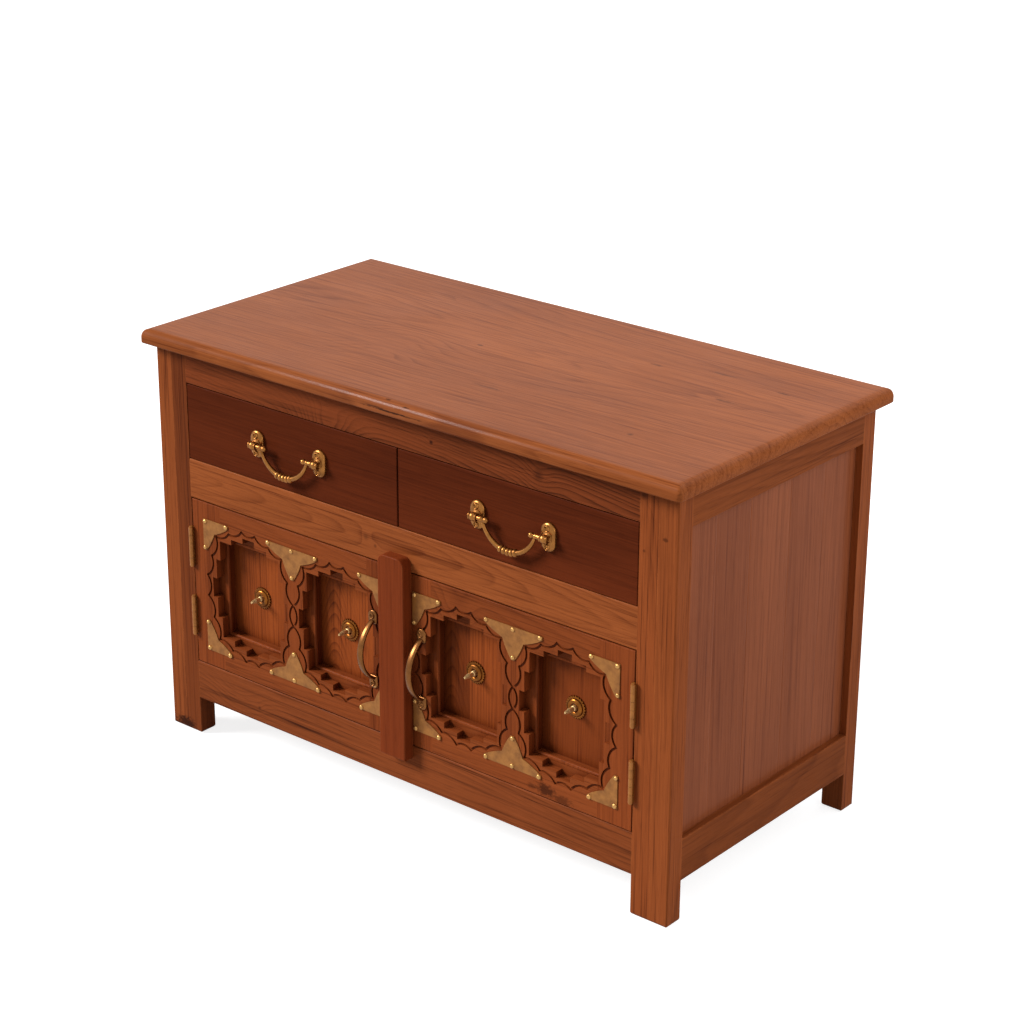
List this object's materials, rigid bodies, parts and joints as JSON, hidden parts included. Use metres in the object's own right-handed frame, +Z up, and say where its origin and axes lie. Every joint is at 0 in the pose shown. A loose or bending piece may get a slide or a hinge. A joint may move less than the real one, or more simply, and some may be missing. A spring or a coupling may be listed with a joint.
{
  "type": "carved storage cabinet",
  "caption": "Low carved hardwood cabinet on post legs: drawers with brass bail pulls above doors with stepped recesses, brass corner plates, pointed rosettes and bow pulls.",
  "frame": {"origin": "on the floor, under the middle of the whole cabinet with its pulls and top", "axes": "+X to the right along the width, +Y from the front to the back, +Z up; drawers and doors face -Y"},
  "size_m": [0.9, 0.4694, 0.59],
  "materials": {
    "top_wood": "satin lacquer, worn at the edges",
    "case_wood": "satin lacquer",
    "mid_rail_wood": "satin lacquer, lighter and more orange",
    "side_panel_wood": "satin lacquer",
    "drawer_front_wood": "dark red-brown stain under satin lacquer",
    "door_wood": "satin lacquer over carving",
    "door_panel_wood": "satin lacquer",
    "plain_wood": "unfinished, sanded",
    "cast_brass": "polished, slightly tarnished",
    "plate_brass": "dull, tarnished sheet",
    "hinge_brass": "dull"
  },
  "bodies": {
    "carcass": {"back_left_post": "case_wood", "back_panel": "plain_wood", "back_rails": "plain_wood", "back_right_post": "case_wood", "cupboard_floor": "plain_wood", "door_stop": "plain_wood", "drawer_deck": "plain_wood", "drawer_divider": "plain_wood", "drawer_runners": "plain_wood", "front_bottom_rail": "case_wood", "front_left_post": "case_wood", "front_left_stile": "case_wood", "front_mid_rail": "mid_rail_wood", "front_right_post": "case_wood", "front_right_stile": "case_wood", "front_top_rail": "case_wood", "hinge_frame_leaves": "hinge_brass", "hinge_pins": "hinge_brass", "left_side_bottom_rail": "case_wood", "left_side_panel": "side_panel_wood", "left_side_top_rail": "case_wood", "right_side_bottom_rail": "case_wood", "right_side_panel": "side_panel_wood", "right_side_top_rail": "case_wood", "top_board": "top_wood"},
    "left_drawer": {"left_drawer_front": "drawer_front_wood", "left_drawer_sides": "plain_wood", "left_drawer_back": "plain_wood", "left_drawer_bottom": "plain_wood", "left_pull_plates": "cast_brass", "left_pull_screws": "cast_brass"},
    "left_bail": {"left_bail": "cast_brass"},
    "left_door": {"left_door_hinge_stile": "door_wood", "left_door_lock_stile": "door_wood", "left_door_rails": "door_wood", "left_door_muntin": "door_wood", "left_door_panels": "door_panel_wood", "left_corner_plates": "plate_brass", "left_door_fixings": "cast_brass", "left_rosettes": "cast_brass", "left_door_pull": "cast_brass", "left_door_hinge_leaves": "hinge_brass"},
    "right_drawer": {"right_drawer_front": "drawer_front_wood", "right_drawer_sides": "plain_wood", "right_drawer_back": "plain_wood", "right_drawer_bottom": "plain_wood", "right_pull_plates": "cast_brass", "right_pull_screws": "cast_brass"},
    "right_bail": {"right_bail": "cast_brass"},
    "right_door": {"right_door_hinge_stile": "door_wood", "right_door_lock_stile": "door_wood", "right_door_rails": "door_wood", "right_door_muntin": "door_wood", "right_door_panels": "door_panel_wood", "right_corner_plates": "plate_brass", "right_door_fixings": "cast_brass", "right_rosettes": "cast_brass", "right_door_pull": "cast_brass", "right_door_hinge_leaves": "hinge_brass", "centre_post": "door_wood"}
  },
  "joints": [
    {"name": "left_drawer_slide", "type": "slide", "parent": "carcass", "child": "left_drawer", "axis": [0, -1, 0], "range_m": [0, 0.25]},
    {"name": "left_bail_swing", "type": "hinge", "parent": "left_drawer", "child": "left_bail", "pos_m": [-0.1905, -0.2158, 0.47], "axis": [-1, 0, 0], "range_deg": [-6, 95]},
    {"name": "left_door_swing", "type": "hinge", "parent": "carcass", "child": "left_door", "pos_m": [-0.38025, -0.2093, 0.237], "axis": [0, 0, -1], "range_deg": [0, 170]},
    {"name": "right_drawer_slide", "type": "slide", "parent": "carcass", "child": "right_drawer", "axis": [0, -1, 0], "range_m": [0, 0.25]},
    {"name": "right_bail_swing", "type": "hinge", "parent": "right_drawer", "child": "right_bail", "pos_m": [0.1905, -0.2158, 0.47], "axis": [-1, 0, 0], "range_deg": [-6, 95]},
    {"name": "right_door_swing", "type": "hinge", "parent": "carcass", "child": "right_door", "pos_m": [0.38025, -0.2093, 0.237], "axis": [0, 0, 1], "range_deg": [0, 170]}
  ]
}
